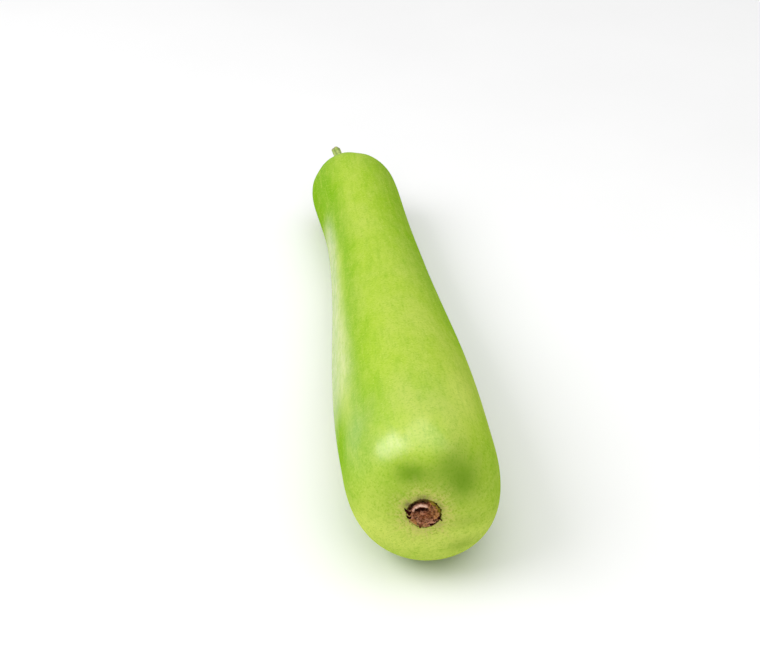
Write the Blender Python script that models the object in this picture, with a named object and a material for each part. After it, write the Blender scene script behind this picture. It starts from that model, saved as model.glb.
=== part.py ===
"""A bottle gourd as picked, lying on a level surface: a pear-necked fruit, its cut stem and the dried
remains of its flower. Metres, +Z up. The fruit lies along Y, with the blossom end at -Y and the stem
at +Y. The origin is under the middle of the whole gourd, on the surface that it rests on.

Each piece is modelled along a level axis, with t running from 0 at the blossom end to 1 at the stem
end, and then all three are tipped together until belly and head both touch the surface."""

import math

import bmesh
import bpy
import numpy as np
from mathutils import Euler, Vector

# The fruit's length without its stem, and its three leading radii.
FRUIT_LENGTH = 0.400
BELLY_RADIUS = 0.0415
NECK_RADIUS = 0.0276
HEAD_RADIUS = 0.0288

# Where the belly starts to narrow and where the neck is reached, as fractions of the length.
TAPER_START = 0.112
TAPER_END = 0.775
HEAD_AT = 0.91
HEAD_SPREAD = 0.082

# Each end is a superellipse: how far it reaches along the fruit, and how square its shoulder is.
BLOSSOM_CAP = 0.12
BLOSSOM_SQUARENESS = 3.0
STEM_CAP = 0.088
STEM_SQUARENESS = 2.3

# The axis bends sideways in a bow and an S, and the blossom end is set off centre and leans.
SIDE_BOW = -0.0030
SIDE_SWAY = -0.0046
SCAR_OFFSET = (-0.0047, 0.0038)
SCAR_OFFSET_REACH = 0.13
BLOSSOM_LEAN = 0.0052
BLOSSOM_LEAN_REACH = 0.12

# The belly's section is an oval, a little taller than wide, that leans towards -X.
OVAL = 0.052
OVAL_ANGLE = math.radians(106.5)
OVAL_AT = 0.08
OVAL_REACH = 0.16

# Two soft hollows in the shoulder above the scar: t, angle round the axis, depth, and both spreads.
SHOULDER_HOLLOWS = (
    (0.030, math.radians(118), 0.0012, 0.030, 0.42),
    (0.030, math.radians(58), 0.0015, 0.030, 0.42),
)

# The pocket that holds the dried flower, in a wide shallow dip of the blossom end.
POCKET_RADIUS = 0.0083
POCKET_DEPTH = 0.0034
POCKET_LIP = 0.0006
BLOSSOM_DIP = 0.0012
BLOSSOM_DIP_RADIUS = 0.016

# The hollow round the stem, with creases that run out of it between soft swellings.
STEM_SEAT_RADIUS = 0.0066
STEM_DIP = 0.0060
STEM_DIP_RADIUS = 0.0125
CREASE_ANGLES = tuple(math.radians(angle) for angle in (12, 80, 152, 224, 300))
CREASE_WIDTH = 0.20
CREASE_DEPTH = 0.14
CREASE_REACH = 0.036
CREASE_SINK = 0.55

# The stem, measured from its seat: how far it runs along the fruit, and how far its tip has moved.
STEM_RUN = 0.0415
STEM_SIDE = -0.0050
STEM_RISE = 0.0045
STEM_RADIUS = 0.0027
STEM_BASE_RADIUS = 0.0049
STEM_FLARE = 0.0160
STEM_TIP_SWELL = 0.12
STEM_RIDGES = 5
STEM_RIDGE_HEIGHT = 0.08

# The dried flower is a corky disc in the pocket. Its rim lies over the skin's edge all round but on
# the upper side, where it has shrunk back and left a gap. Behind that gap a corky ring stands up.
DISC_RADIUS = 0.0077
RIM_HEIGHT = 0.0037
RIM_WIDTH = 0.0008
SCRAP_LIFT = 0.35
SHRUNK_SIDE = math.radians(105)
SHRUNK_HALF_WIDTH = math.radians(55)
SHRUNK_FALL = math.radians(18)
SHRUNK_BACK = 0.0012
SHRUNK_DOWN = 0.0021
RING_RADIUS = 0.0056
RING_HEIGHT = 0.0032
GROOVE_RADIUS = 0.0044
GROOVE_HEIGHT = 0.0012
MIDDLE_RADIUS = 0.0031
MIDDLE_HEIGHT = 0.0026

# The rim's torn points: angle, reach past the rim and half-width in radians. All but the flat back
# and the side is roughened.
SCRAPS = (
    (math.radians(163), 0.0020, 0.14),
    (math.radians(195), 0.0009, 0.16),
    (math.radians(255), 0.0012, 0.18),
    (math.radians(308), 0.0004, 0.30),
    (math.radians(335), 0.0014, 0.15),
    (math.radians(14), 0.0004, 0.30),
)
FLAT_ROWS = 2
RIM_ROUGHNESS = 0.00015
ROUGHNESS_SEED = 7

# Touching pieces keep this gap, and the fruit is flattened this much where it rests.
GAP = 0.0003
REST_FLAT = 0.0006
SURFACE_CUTTER = (0.3, 0.6, 0.02)

# How finely each piece is divided.
FRUIT_SIDES = 60
BLOSSOM_RINGS = 15
BODY_RINGS = 26
STEM_END_RINGS = 13
SCAR_SIDES = 72
STEM_PROFILE_POINTS = 30
STEM_RINGS = 18
REST_STEPS = 4


def smooth_step(value):
    value = np.clip(value, 0.0, 1.0)
    return value * value * (3.0 - 2.0 * value)


def angle_between(angle, other):
    return (angle - other + math.pi) % (2.0 * math.pi) - math.pi


def body_radius(t):
    """The fruit's radius without its rounded ends: belly, smooth taper, neck and slightly fuller head."""
    taper = smooth_step((t - TAPER_START) / (TAPER_END - TAPER_START))
    swell = np.exp(-(((t - HEAD_AT) / HEAD_SPREAD) ** 2))
    return BELLY_RADIUS + (NECK_RADIUS - BELLY_RADIUS) * taper + (HEAD_RADIUS - NECK_RADIUS) * swell


def cap_rings(squareness, smallest, count):
    """Ring sizes, 0 to 1 of the full radius, and depths, 0 at the pole to 1, of a superelliptic end."""
    lowest = math.asin(smallest ** (squareness / 2.0))
    angle = np.linspace(lowest, math.pi / 2.0, count)
    return np.sin(angle) ** (2.0 / squareness), 1.0 - np.cos(angle) ** (2.0 / squareness)


def ring_stations():
    """t and cap factor of every ring on the skin, from the pocket's lip to the edge of the stem's seat."""
    lip = POCKET_RADIUS + POCKET_LIP
    size, depth = cap_rings(BLOSSOM_SQUARENESS, lip / BELLY_RADIUS, BLOSSOM_RINGS)
    blossom = np.stack([BLOSSOM_CAP * depth, size], axis=1)
    middle = np.linspace(BLOSSOM_CAP, 1.0 - STEM_CAP, BODY_RINGS + 2)[1:-1]
    body = np.stack([middle, np.ones_like(middle)], axis=1)
    size, depth = cap_rings(STEM_SQUARENESS, STEM_SEAT_RADIUS / HEAD_RADIUS, STEM_END_RINGS)
    stem = np.stack([1.0 - STEM_CAP * depth, size], axis=1)[::-1]
    return np.concatenate([blossom, body, stem])


def axis_offset(t):
    """How far the fruit's axis stands from a straight line at t, in x and z."""
    end = 2.0 * t - 1.0
    to_scar = np.clip(1.0 - t / SCAR_OFFSET_REACH, 0.0, 1.0) ** 2
    x = SIDE_BOW * end**2 + SIDE_SWAY * end**3 + SCAR_OFFSET[0] * to_scar
    return x, SCAR_OFFSET[1] * to_scar


def crease_depth(angle):
    """0 on the swellings and 1 in the bottom of a crease."""
    return sum(np.exp(-((angle_between(angle, crease) / CREASE_WIDTH) ** 2)) for crease in CREASE_ANGLES)


def skin_points(t, size, angle):
    """Points of the skin at t and an angle round the axis. size is a rounded end's share of the radius."""
    radius = body_radius(t) * size
    belly = np.exp(-(((t - OVAL_AT) / OVAL_REACH) ** 2))
    radius = radius * (1.0 + OVAL * np.cos(2.0 * (angle - OVAL_ANGLE)) * belly * size)
    crease = crease_depth(angle)
    radius = radius * (1.0 - size * CREASE_DEPTH * crease * np.exp(-(((1.0 - t) / CREASE_REACH) ** 2)))
    for at, toward, depth, spread, width in SHOULDER_HOLLOWS:
        along = np.exp(-(((t - at) / spread) ** 2))
        radius = radius - size * depth * along * np.exp(-((angle_between(angle, toward) / width) ** 2))
    x_axis, z_axis = axis_offset(t)
    lean = BLOSSOM_LEAN * np.exp(-((t / BLOSSOM_LEAN_REACH) ** 2)) * radius * np.cos(angle) / BELLY_RADIUS
    y = (t - 0.5) * FRUIT_LENGTH - lean
    y = y + BLOSSOM_DIP * np.exp(-((radius / BLOSSOM_DIP_RADIUS) ** 2)) * (t < 0.5)
    dip = STEM_DIP * (1.0 + CREASE_SINK * crease)
    y = y - dip * np.exp(-((radius / STEM_DIP_RADIUS) ** 2)) * (t > 0.5)
    return np.stack([x_axis + radius * np.cos(angle), y, z_axis + radius * np.sin(angle)], axis=-1)


def on_blossom_face(centre, radius, height):
    """A ring round a point of the leaning blossom end, standing out of it by height."""
    angle = np.linspace(0.0, 2.0 * math.pi, len(radius), endpoint=False)
    across = radius * np.cos(angle)
    lean = across * BLOSSOM_LEAN / BELLY_RADIUS
    return centre + np.stack([across, -height - lean, radius * np.sin(angle)], axis=1)


def fruit_rings():
    """All of the skin's rings as an array of ring, point and coordinate."""
    stations = ring_stations()
    angle = np.linspace(0.0, 2.0 * math.pi, FRUIT_SIDES, endpoint=False)
    return skin_points(stations[:, :1], stations[:, 1:], angle[None, :])


def resting_pose(points):
    """The tip about X and the lift that lay the fruit on its belly and its head, both pressed in alike."""
    pitch = 0.0
    for _ in range(REST_STEPS):
        y = points[:, 1] * math.cos(pitch) - points[:, 2] * math.sin(pitch)
        z = points[:, 1] * math.sin(pitch) + points[:, 2] * math.cos(pitch)
        front = np.where(y < 0.0, z, np.inf).argmin()
        back = np.where(y > 0.0, z, np.inf).argmin()
        pitch -= math.atan2(z[back] - z[front], y[back] - y[front])
    z = points[:, 1] * math.sin(pitch) + points[:, 2] * math.cos(pitch)
    return pitch, -z.min() - REST_FLAT


def material(name, colour, roughness):
    finish = bpy.data.materials.new(name)
    finish.use_nodes = True
    shader = finish.node_tree.nodes["Principled BSDF"]
    shader.inputs["Base Color"].default_value = (*colour, 1.0)
    shader.inputs["Roughness"].default_value = roughness
    shader.inputs["Metallic"].default_value = 0.0
    finish.diffuse_color = (*colour, 1.0)
    return finish


def loft(name, rings, start, end, collection, finish):
    """A closed solid through rings of equal count, closed by a fan to a point at either end."""
    count, sides = rings.shape[:2]
    mesh = bpy.data.meshes.new(name)
    shape = bmesh.new()
    rows = [[shape.verts.new(point) for point in ring] for ring in rings.tolist()]
    poles = [shape.verts.new(start), shape.verts.new(end)]
    for low, high in zip(rows[:-1], rows[1:]):
        for i in range(sides):
            j = (i + 1) % sides
            shape.faces.new((low[i], low[j], high[j], high[i]))
    for i in range(sides):
        j = (i + 1) % sides
        shape.faces.new((poles[0], rows[0][j], rows[0][i]))
        shape.faces.new((poles[1], rows[count - 1][i], rows[count - 1][j]))
    bmesh.ops.recalc_face_normals(shape, faces=shape.faces)
    shape.to_mesh(mesh)
    shape.free()
    mesh.shade_smooth()
    mesh.set_sharp_from_angle(angle=math.radians(50))
    mesh.materials.append(finish)
    made = bpy.data.objects.new(name, mesh)
    collection.objects.link(made)
    return made


def make_fruit(collection):
    """The fruit, with the dried flower's pocket sunk in one end and the stem's seat flat in the other."""
    skin = fruit_rings()
    wall = on_blossom_face(skin[0].mean(axis=0), np.full(FRUIT_SIDES, POCKET_RADIUS), np.zeros(FRUIT_SIDES))
    floor = wall + (0.0, POCKET_DEPTH, 0.0)
    seat = skin[-1].copy()
    seat[:, 1] = seat[:, 1].min()
    rings = np.concatenate([floor[None], wall[None], skin[:-1], seat[None]])
    finish = material("gourd_skin", (0.36, 0.58, 0.08), 0.38)
    fruit = loft("gourd", rings, floor.mean(axis=0), seat.mean(axis=0), collection, finish)
    return fruit, floor, seat


def scrap_reach(angle):
    """How far the torn rim reaches past the disc at each angle."""
    reach = np.zeros_like(angle)
    for toward, outward, width in SCRAPS:
        reach += outward * np.exp(-((angle_between(angle, toward) / width) ** 2))
    return reach


def flower_rows(angle):
    """Radius and height of the dried flower's rows: back, side, torn rim, corky ring, groove, middle."""
    from_shrunk = np.abs(angle_between(angle, SHRUNK_SIDE))
    shrunk = smooth_step((SHRUNK_HALF_WIDTH - from_shrunk) / SHRUNK_FALL)
    reach = scrap_reach(angle)
    level = np.zeros_like(angle)
    side = POCKET_DEPTH - SHRUNK_DOWN * shrunk
    rim = RIM_HEIGHT - SHRUNK_DOWN * shrunk + SCRAP_LIFT * reach
    edge = DISC_RADIUS - SHRUNK_BACK * shrunk
    ring = RING_HEIGHT * shrunk + (RIM_HEIGHT - RIM_WIDTH) * (1.0 - shrunk)
    groove = GROOVE_HEIGHT * shrunk + MIDDLE_HEIGHT * (1.0 - shrunk)
    return (
        (edge - RIM_WIDTH / 2.0, level),
        (edge, side),
        (edge + reach, rim),
        (edge + 0.6 * reach - RIM_WIDTH, rim + RIM_WIDTH / 2.0),
        (level + RING_RADIUS, ring),
        (level + GROOVE_RADIUS, groove),
        (level + MIDDLE_RADIUS, level + MIDDLE_HEIGHT),
        (level + MIDDLE_RADIUS / 2.0, level + MIDDLE_HEIGHT),
    )


def make_flower_scar(floor, collection):
    """The dried flower, as rows from its flat back over the torn rim to its middle, slightly roughened."""
    centre = floor.mean(axis=0)
    angle = np.linspace(0.0, 2.0 * math.pi, SCAR_SIDES, endpoint=False)
    rows = flower_rows(angle)
    rough = np.random.default_rng(ROUGHNESS_SEED).uniform(-1.0, 1.0, (len(rows), SCAR_SIDES))
    rough[:FLAT_ROWS] = 0.0
    rings = []
    for (radius, height), bump in zip(rows, rough):
        rings.append(on_blossom_face(centre, radius, GAP + height + RIM_ROUGHNESS * bump))
    rings = np.array(rings)
    back = centre + (0.0, -GAP, 0.0)
    front = centre + (0.0, -GAP - MIDDLE_HEIGHT, 0.0)
    finish = material("dried_flower", (0.16, 0.075, 0.04), 0.85)
    return loft("blossom_scar", rings, back, front, collection, finish)


def stem_radius(run):
    """The stem's radius at a distance from its seat: a flared foot, a slim shank and a slight end swell."""
    flare = (STEM_BASE_RADIUS - STEM_RADIUS) * np.exp(-((run / STEM_FLARE) ** 2))
    swell = STEM_TIP_SWELL * STEM_RADIUS * smooth_step((run / STEM_RUN - 0.75) / 0.25)
    return STEM_RADIUS + flare + swell


def make_stem(seat, collection, guides):
    """The cut stem: a ridged section carried along a bending path, thicker where it joins the fruit."""
    finish = material("stem_green", (0.33, 0.42, 0.12), 0.6)
    section = bpy.data.curves.new("stem_section", "CURVE")
    section.dimensions = "2D"
    outline = section.splines.new("POLY")
    outline.points.add(STEM_PROFILE_POINTS - 1)
    for i, point in enumerate(outline.points):
        angle = -2.0 * math.pi * i / STEM_PROFILE_POINTS
        radius = 1.0 + STEM_RIDGE_HEIGHT * math.cos(STEM_RIDGES * angle)
        point.co = (radius * math.cos(angle), radius * math.sin(angle), 0.0, 1.0)
    outline.use_cyclic_u = True
    guide = bpy.data.objects.new("stem_section", section)
    guide.hide_render = True
    guide.display_type = "WIRE"
    guides.objects.link(guide)

    path = bpy.data.curves.new("stem", "CURVE")
    path.dimensions = "3D"
    path.bevel_mode = "OBJECT"
    path.bevel_object = guide
    path.use_fill_caps = True
    spline = path.splines.new("POLY")
    spline.points.add(STEM_RINGS - 1)
    foot = seat.mean(axis=0)
    for i, point in enumerate(spline.points):
        share = i / (STEM_RINGS - 1)
        run = STEM_RUN * share
        bend = smooth_step(share * 0.5) * 2.0
        point.co = (foot[0] + STEM_SIDE * bend, foot[1] + GAP + run, foot[2] + STEM_RISE * bend, 1.0)
        point.radius = float(stem_radius(run))
    path.materials.append(finish)
    stem = bpy.data.objects.new("stem", path)
    collection.objects.link(stem)
    return stem


def world_bounds(objects):
    """The lowest and highest corner of all objects together, as they are evaluated."""
    bpy.context.view_layer.update()
    graph = bpy.context.evaluated_depsgraph_get()
    corners = []
    for made in objects:
        evaluated = made.evaluated_get(graph)
        mesh = evaluated.to_mesh()
        corners.extend(evaluated.matrix_world @ vertex.co for vertex in mesh.vertices)
        evaluated.to_mesh_clear()
    corners = np.array(corners)
    return corners.min(axis=0), corners.max(axis=0)


def main():
    for old in list(bpy.data.objects):
        bpy.data.objects.remove(old, do_unlink=True)
    parts = bpy.data.collections.new("bottle_gourd")
    cutters = bpy.data.collections.new("cutters")
    for collection in (parts, cutters):
        bpy.context.scene.collection.children.link(collection)

    fruit, floor, seat = make_fruit(parts)
    scar = make_flower_scar(floor, parts)
    stem = make_stem(seat, parts, cutters)

    pitch, lift = resting_pose(fruit_rings().reshape(-1, 3))
    resting = bpy.data.objects.new("resting_pose", None)
    parts.objects.link(resting)
    resting.rotation_euler = Euler((pitch, 0.0, 0.0))
    resting.location = Vector((0.0, 0.0, lift))
    for made in (fruit, scar, stem):
        made.parent = resting

    surface_mesh = bpy.data.meshes.new("surface_cutter")
    box = bmesh.new()
    bmesh.ops.create_cube(box, size=1.0)
    bmesh.ops.scale(box, vec=SURFACE_CUTTER, verts=box.verts)
    bmesh.ops.translate(box, vec=(0.0, 0.0, -SURFACE_CUTTER[2] / 2.0), verts=box.verts)
    box.to_mesh(surface_mesh)
    box.free()
    surface = bpy.data.objects.new("surface_cutter", surface_mesh)
    surface.hide_render = True
    surface.display_type = "WIRE"
    cutters.objects.link(surface)
    cut = fruit.modifiers.new("resting_flat", "BOOLEAN")
    cut.operation = "DIFFERENCE"
    cut.solver = "EXACT"
    cut.object = surface

    low, high = world_bounds((fruit, scar, stem))
    resting.location.x -= (low[0] + high[0]) / 2.0
    resting.location.y -= (low[1] + high[1]) / 2.0


main()
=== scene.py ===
# %% [markdown]
# # A bottle gourd, from solid to fruit
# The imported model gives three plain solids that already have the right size: the fruit, its cut stem and
# the dried remains of its flower. This lesson dresses them. Each solid is replaced by a finer surface
# worked out from a formula, and each surface gets a finish made of procedural nodes.

import math

import bpy
import numpy as np
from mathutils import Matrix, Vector


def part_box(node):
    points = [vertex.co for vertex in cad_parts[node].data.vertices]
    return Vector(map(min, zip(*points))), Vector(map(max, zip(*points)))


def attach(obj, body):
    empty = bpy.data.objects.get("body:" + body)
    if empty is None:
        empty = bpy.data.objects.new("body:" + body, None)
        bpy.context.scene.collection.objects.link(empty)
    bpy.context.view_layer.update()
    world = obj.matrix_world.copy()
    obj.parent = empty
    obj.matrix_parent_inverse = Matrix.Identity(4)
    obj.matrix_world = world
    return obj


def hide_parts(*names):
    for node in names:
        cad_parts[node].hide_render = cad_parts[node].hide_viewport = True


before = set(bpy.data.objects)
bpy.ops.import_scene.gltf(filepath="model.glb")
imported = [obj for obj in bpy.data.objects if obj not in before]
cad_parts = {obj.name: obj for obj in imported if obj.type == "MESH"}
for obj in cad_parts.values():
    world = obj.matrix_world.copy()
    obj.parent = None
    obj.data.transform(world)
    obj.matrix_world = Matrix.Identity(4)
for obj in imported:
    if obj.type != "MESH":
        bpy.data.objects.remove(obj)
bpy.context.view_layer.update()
gourd_low, gourd_high = (np.array(corner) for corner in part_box("gourd"))
print("solids:", sorted(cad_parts))

# %% [markdown]
# ## Camera
# The view is set up first, because every later choice is judged through it. The lens belongs to the long
# side of a 760 by 672 picture. A long lens from nearly a metre away keeps the far end of the gourd from
# shrinking too much. The camera looks down on the blossom end, a little from the left.

# %% Camera
PICTURE_WIDTH = 760
SENSOR_WIDTH_MM = 36.0
FOCAL_PIXELS = 1600
CAMERA_AZIMUTH = math.radians(-5.738)
CAMERA_ELEVATION = math.radians(32.978)
CAMERA_DISTANCE = 0.9151
CAMERA_TARGET = Vector((-0.0072, -0.0439, 0.0400))

camera_data = bpy.data.cameras.new("camera")
camera_data.sensor_width = SENSOR_WIDTH_MM
camera_data.lens = FOCAL_PIXELS / PICTURE_WIDTH * SENSOR_WIDTH_MM
camera = bpy.data.objects.new("camera", camera_data)
bpy.context.scene.collection.objects.link(camera)
backwards = Vector(
    (
        math.sin(CAMERA_AZIMUTH) * math.cos(CAMERA_ELEVATION),
        -math.cos(CAMERA_AZIMUTH) * math.cos(CAMERA_ELEVATION),
        math.sin(CAMERA_ELEVATION),
    )
)
camera.location = CAMERA_TARGET + backwards * CAMERA_DISTANCE
camera.rotation_euler = (-backwards).to_track_quat("-Z", "Y").to_euler()
bpy.context.scene.camera = camera
print("lens in mm:", round(camera_data.lens, 2))

# %% [markdown]
# ## Helpers for shapes
# Every piece here is a stack of closed rings, like a knitted sleeve. Rings of equal count are joined by
# quads, and each end is closed by a fan of triangles to one point. Whole arrays are worked out at once
# with numpy, so there is no loop over points.

# %% Shape helpers
def smooth_step(value):
    """0 below 0, 1 above 1, and 3v squared minus 2v cubed in between, so both ends are level."""
    value = np.clip(value, 0.0, 1.0)
    return value * value * (3.0 - 2.0 * value)


def ease(value, start, end):
    """A smooth step that is 0 at start and 1 at end, whichever of the two is larger."""
    return smooth_step((value - start) / (end - start))


def angle_between(angle, other):
    """The turn from one angle to another, wrapped to half a turn either way."""
    return (angle - other + math.pi) % (2.0 * math.pi) - math.pi


def degrees_off(angle, toward):
    """How many degrees an angle in radians lies off a direction that is given in degrees."""
    return np.degrees(np.abs(angle_between(angle, np.radians(toward))))


def near_side(angle, toward, half_width, fall):
    """1 within half_width of a direction, easing to 0 outside it. All three are in degrees."""
    return smooth_step((half_width - degrees_off(angle, toward)) / fall)


def hump(value, width):
    """A bell curve: 1 where value is 0, falling off as e to the minus value over width, squared."""
    return np.exp(-((value / width) ** 2))


def around(sides):
    """Equally spaced angles for one closed ring."""
    return np.linspace(0.0, 2.0 * math.pi, sides, endpoint=False)


def ripple(angle, counts, seed):
    """A closed wavy line between about -1 and 1: cosines with whole counts round the ring, each begun at
    a random place."""
    phases = np.random.default_rng(seed).uniform(0.0, 2.0 * math.pi, len(counts))
    waves = [np.cos(count * angle + phase) for count, phase in zip(counts, phases)]
    return sum(waves) / math.sqrt(len(counts))


def smooth_through(knots, count):
    """Catmull-Rom curve through the knots: each stretch is the cubic whose slope at a knot is half the
    way from the knot before it to the knot after it."""
    knots = np.asarray(knots, float)
    padded = np.concatenate([2 * knots[:1] - knots[1:2], knots, 2 * knots[-1:] - knots[-2:-1]])
    place = np.linspace(0.0, len(knots) - 1.0, count)
    start = np.minimum(place.astype(int), len(knots) - 2)
    u = (place - start).reshape((-1,) + (1,) * (knots.ndim - 1))
    before, low, high, after = (padded[start + k] for k in range(4))
    slope_low, slope_high = (high - before) / 2.0, (after - low) / 2.0
    rise = high - low
    bend = slope_low + slope_high - 2.0 * rise
    return low + u * (slope_low + u * (rise - slope_low - bend + u * bend))


def sleeve(rings):
    """Points, quads and triangles of one closed body: rings joined by quads, with a fan at either end."""
    count, sides = rings.shape[:2]
    points = np.concatenate([rings.reshape(-1, 3), rings[:1].mean(axis=1), rings[-1:].mean(axis=1)])
    index = np.arange(count * sides).reshape(count, sides)
    beside = np.roll(index, -1, axis=1)
    quads = np.stack([index[:-1], index[1:], beside[1:], beside[:-1]], axis=-1).reshape(-1, 4)
    pole = count * sides
    first = np.stack([np.full(sides, pole), index[0], beside[0]], axis=-1)
    last = np.stack([np.full(sides, pole + 1), beside[-1], index[-1]], axis=-1)
    triangles = np.concatenate([first, last])
    corners = points[np.concatenate([triangles, quads[:, :3], quads[:, [0, 2, 3]]])]
    volume = np.einsum("ij,ij->i", corners[:, 0], np.cross(corners[:, 1], corners[:, 2])).sum() / 6.0
    if volume < 0.0:
        quads, triangles = quads[:, ::-1], triangles[:, ::-1]
    return points, quads, triangles


def put_bodies(name, sleeves, finish, attributes=None):
    """One smooth-shaded mesh object from closed bodies, with a number per point for each attribute."""
    points, quads, triangles, shift = [], [], [], 0
    for body_points, body_quads, body_triangles in sleeves:
        points.append(body_points)
        quads.append(body_quads + shift)
        triangles.append(body_triangles + shift)
        shift += len(body_points)
    points, quads, triangles = (np.concatenate(parts) for parts in (points, quads, triangles))
    mesh = bpy.data.meshes.new(name)
    mesh.vertices.add(len(points))
    mesh.vertices.foreach_set("co", points.astype(np.float32).ravel())
    corners = np.concatenate([quads.ravel(), triangles.ravel()]).astype(np.int32)
    mesh.loops.add(len(corners))
    mesh.loops.foreach_set("vertex_index", corners)
    starts = np.concatenate([np.arange(len(quads)) * 4, len(quads) * 4 + np.arange(len(triangles)) * 3])
    mesh.polygons.add(len(starts))
    mesh.polygons.foreach_set("loop_start", starts.astype(np.int32))
    mesh.update(calc_edges=True)
    mesh.validate()
    mesh.shade_smooth()
    for label, values in (attributes or {}).items():
        layer = mesh.attributes.new(label, "FLOAT", "POINT")
        layer.data.foreach_set("value", np.asarray(values, np.float32).ravel())
    mesh.materials.append(finish)
    made = bpy.data.objects.new(name, mesh)
    bpy.context.scene.collection.objects.link(made)
    print(name, "has", 2 * len(quads) + len(triangles), "triangles")
    return made


def with_poles(values):
    """Values on rings, followed by their mean on the first ring and on the last, for the two fan points."""
    return np.concatenate([values.ravel(), [values[0].mean(), values[-1].mean()]])

# %% [markdown]
# ## Helpers for finishes
# A finish is a small network of shader nodes. Patterns are read from object coordinates in metres, so a
# scale of 1000 gives marks about a millimetre wide. Marks that follow a shape, such as the browned edge
# of the flower's pocket, read a number that was stored on the mesh instead.

# %% Finish helpers
def new_finish(name, roughness, specular=0.5):
    """A material with its Principled shader, whose constant values sit on the shader's own sockets."""
    finish = bpy.data.materials.new(name)
    finish.use_nodes = True
    shader = finish.node_tree.nodes["Principled BSDF"]
    shader.inputs["Roughness"].default_value = roughness
    shader.inputs["Specular IOR Level"].default_value = specular
    return finish, finish.node_tree, shader


def add_node(tree, kind, sockets, **settings):
    """A node with its settings, and with each socket given either a value or another node's output."""
    made = tree.nodes.new(kind)
    for key, value in settings.items():
        setattr(made, key, value)
    for key, value in sockets.items():
        if isinstance(value, bpy.types.NodeSocket):
            tree.links.new(value, made.inputs[key])
        else:
            made.inputs[key].default_value = value
    return made


def object_place(tree, stretch=(1.0, 1.0, 1.0)):
    """Object coordinates. A stretch below 1 on an axis draws the pattern out along it."""
    place = add_node(tree, "ShaderNodeTexCoord", {}).outputs["Object"]
    return add_node(tree, "ShaderNodeMapping", {"Vector": place, "Scale": stretch}).outputs["Vector"]


def noise(tree, place, scale, detail=3.0, roughness=0.55):
    sockets = {"Vector": place, "Scale": scale, "Detail": detail, "Roughness": roughness}
    return add_node(tree, "ShaderNodeTexNoise", sockets).outputs["Fac"]


def stored(tree, label):
    """A number that the mesh carries at each point."""
    return add_node(tree, "ShaderNodeAttribute", {}, attribute_name=label).outputs["Fac"]


def window(tree, value, start, end, low=0.0, high=1.0):
    """low before start, high after end, and a smooth step in between."""
    sockets = {"Value": value, "From Min": start, "From Max": end, "To Min": low, "To Max": high}
    return add_node(tree, "ShaderNodeMapRange", sockets, interpolation_type="SMOOTHSTEP").outputs["Result"]


def times(tree, value, other):
    return add_node(tree, "ShaderNodeMath", {0: value, 1: other}, operation="MULTIPLY").outputs["Value"]


def plus(tree, value, other):
    return add_node(tree, "ShaderNodeMath", {0: value, 1: other}, operation="ADD").outputs["Value"]


def paint(tree, share, below, above):
    """One colour laid over another by a share from 0 to 1. A colour is given as red, green and blue."""
    colours = [c if isinstance(c, bpy.types.NodeSocket) else (*c, 1.0) for c in (below, above)]
    sockets = {"Factor": share, 6: colours[0], 7: colours[1]}
    return add_node(tree, "ShaderNodeMix", sockets, data_type="RGBA").outputs[2]


def specks(tree, place, scale, radius, kept):
    """Round specks: cells of equal size, each with a dot at its point, where the cell's random number
    says that it is kept. radius is a share of the cell."""
    cells = add_node(tree, "ShaderNodeTexVoronoi", {"Vector": place, "Scale": scale})
    dot = window(tree, cells.outputs["Distance"], radius, radius * 0.4)
    lot = add_node(tree, "ShaderNodeSeparateColor", {"Color": cells.outputs["Color"]}).outputs["Red"]
    return times(tree, dot, window(tree, lot, kept + 0.02, kept))


def bump(tree, height, depth, under=None):
    """Turns a height pattern into shading normals, on top of an earlier bump."""
    sockets = {"Height": height, "Distance": depth, "Strength": 1.0}
    if under is not None:
        sockets["Normal"] = under
    return add_node(tree, "ShaderNodeBump", sockets).outputs["Normal"]


def paint_patterns(tree, colour, layers):
    """Lays colours over one another. Each layer has a pattern, the two values of the pattern between which
    it sets in, the largest share, and the colour laid on."""
    for pattern, start, end, share, laid in layers:
        colour = paint(tree, window(tree, pattern, start, end, 0.0, share), colour, laid)
    return colour


def paint_marks(tree, colour, layers):
    """Lays a colour on wherever a stored mark says so, one mark after the other."""
    for label, laid in layers:
        colour = paint(tree, stored(tree, label), colour, laid)
    return colour


def feed(tree, shader, sockets):
    """Links patterns to the shader's sockets."""
    for key, value in sockets.items():
        tree.links.new(value, shader.inputs[key])

# %% [markdown]
# ## The fruit's form
# On the real plant the whole fruit grows as one body, so one surface carries it all. It is a stack of
# rings along an axis that bends a little. A radius that depends on the place along the fruit gives belly,
# neck and head, and each end is rounded as a superellipse. These are the same sizes as the solid has, so
# the finer surface fits it everywhere.

# %% Sizes of the fruit, in metres
FRUIT_LENGTH = 0.400
BELLY_RADIUS = 0.0415
NECK_RADIUS = 0.0276
HEAD_RADIUS = 0.0288
TAPER_START = 0.112
TAPER_END = 0.775
HEAD_AT = 0.91
HEAD_SPREAD = 0.082
BLOSSOM_CAP = 0.12
BLOSSOM_SQUARENESS = 3.0
STEM_CAP = 0.088
STEM_SQUARENESS = 2.3
SIDE_BOW = -0.0030
SIDE_SWAY = -0.0046
SCAR_OFFSET = (-0.0047, 0.0038)
SCAR_OFFSET_REACH = 0.13
BLOSSOM_LEAN = 0.0052
BLOSSOM_LEAN_REACH = 0.12
OVAL = 0.052
OVAL_ANGLE = math.radians(106.5)
OVAL_AT = 0.08
OVAL_REACH = 0.16
SHOULDER_HOLLOWS = (
    (0.030, math.radians(118), 0.0012, 0.030, 0.42),
    (0.030, math.radians(58), 0.0015, 0.030, 0.42),
)
POCKET_RADIUS = 0.0083
POCKET_DEPTH = 0.0034
POCKET_LIP = 0.0006
BLOSSOM_DIP = 0.0012
BLOSSOM_DIP_RADIUS = 0.016
STEM_SEAT_RADIUS = 0.0066
STEM_DIP = 0.0060
STEM_DIP_RADIUS = 0.0125
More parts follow.
